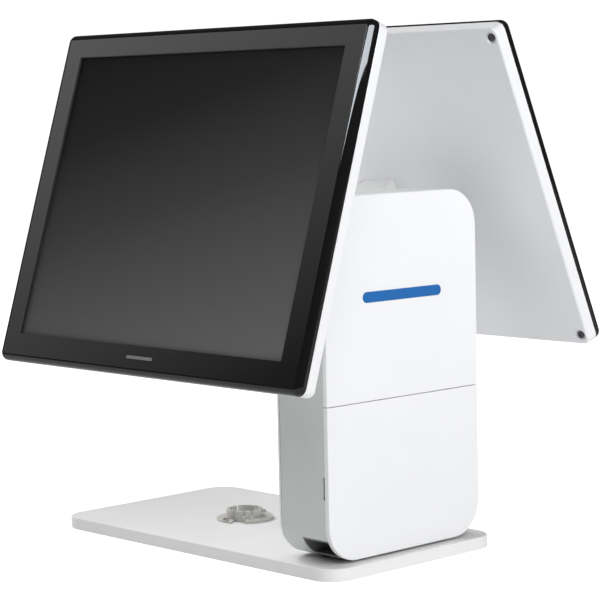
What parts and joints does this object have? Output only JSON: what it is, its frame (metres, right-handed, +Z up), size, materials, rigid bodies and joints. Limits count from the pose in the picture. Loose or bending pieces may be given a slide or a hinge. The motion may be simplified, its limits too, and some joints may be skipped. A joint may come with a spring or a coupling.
{
  "type": "pos touchscreen terminal",
  "caption": "Point-of-sale terminal with operator and customer screens that tilt on a narrow column, standing on a flat base with a pole socket.",
  "frame": {"origin": "on the counter, below the middle of both monitors and on the column's middle plane", "axes": "+X to the operator's right, +Y from the operator to the customer, +Z up"},
  "size_m": [0.3672, 0.3297, 0.4085],
  "materials": {
    "white_plastic": "fine-textured moulded white plastic",
    "white_powder_coat": "satin white powder coat on steel",
    "grey_paint": "satin metallic grey paint on moulded plastic",
    "black_gloss": "piano-black polished plastic",
    "touch_glass": "clear strengthened glass with a black printed border",
    "lcd_face": "dark display face, switched off",
    "zinc_grey": "cast zinc, warm grey paint",
    "screw_steel": "zinc-plated steel",
    "black_screw": "black-oxide steel",
    "sheet_steel": "galvanised sheet steel",
    "bracket_steel": "black e-coat on folded steel",
    "rubber_black": "moulded rubber",
    "dark_plastic": "moulded dark plastic",
    "circuit_board": "solder-masked board with parts",
    "alloy_fins": "extruded aluminium",
    "brass_pillars": "turned brass",
    "friction_disc": "bronze friction discs",
    "cable_jacket": "PVC cable jacket",
    "blue_print": "flat blue applied mark",
    "silver_print": "flat silver applied mark",
    "button_grey": "moulded grey button"
  },
  "bodies": {
    "stand": {"base_plate": "white_powder_coat", "rubber_feet": "rubber_black", "pole_socket": "zinc_grey", "socket_screws": "screw_steel", "column_gasket": "rubber_black", "column_screws": "screw_steel", "column_band": "grey_paint", "left_cover": "white_plastic", "right_cover": "white_plastic", "side_badge": "blue_print", "outlet_duct": "dark_plastic", "chassis_plate": "sheet_steel", "power_switch": "dark_plastic", "speaker": "dark_plastic", "mainboard": "circuit_board", "board_standoffs": "brass_pillars", "heat_sink": "alloy_fins", "memory_module": "circuit_board", "storage_module": "circuit_board", "connector_block": "dark_plastic", "connector_bracket": "sheet_steel", "display_cables": "cable_jacket", "hinge_bracket": "bracket_steel", "bracket_screws": "screw_steel", "hinge_housing": "white_plastic", "housing_lid": "white_plastic", "operator_hinge_pin": "screw_steel", "operator_friction_washers": "friction_disc", "customer_hinge_pin": "screw_steel", "customer_friction_washers": "friction_disc", "pin_nuts": "screw_steel"},
    "operator_monitor": {"operator_touch_glass": "touch_glass", "operator_bezel": "black_gloss", "operator_lcd": "lcd_face", "operator_panel_bracket": "sheet_steel", "operator_driver_board": "circuit_board", "operator_shell": "white_plastic", "operator_shell_screws": "black_screw", "operator_tilt_arm": "white_powder_coat", "operator_arm_screws": "screw_steel", "operator_cable": "cable_jacket", "operator_badge": "silver_print"},
    "customer_monitor": {"customer_cover_glass": "touch_glass", "customer_bezel": "black_gloss", "customer_lcd": "lcd_face", "customer_panel_bracket": "sheet_steel", "customer_driver_board": "circuit_board", "customer_shell": "white_plastic", "customer_shell_screws": "black_screw", "customer_tilt_arm": "white_powder_coat", "customer_arm_screws": "screw_steel", "customer_cable": "cable_jacket"},
    "service_cover": {"service_cover": "white_plastic"},
    "power_button": {"power_button": "button_grey"}
  },
  "joints": [
    {"name": "operator_tilt", "type": "hinge", "parent": "stand", "child": "operator_monitor", "pos_m": [0, -0.0607, 0.2596], "axis": [-1, 0, 0], "range_deg": [-17.5, 12.5]},
    {"name": "customer_tilt", "type": "hinge", "parent": "stand", "child": "customer_monitor", "pos_m": [0, 0.0652, 0.2596], "axis": [1, 0, 0], "range_deg": [-18.7, 11.3]},
    {"name": "service_cover_lift", "type": "slide", "parent": "stand", "child": "service_cover", "axis": [1, 0, 0], "range_m": [0, 0.03]},
    {"name": "power_press", "type": "slide", "parent": "stand", "child": "power_button", "axis": [1, 0, 0], "range_m": [0, 0.0012], "stiffness_N_per_m": 400}
  ]
}
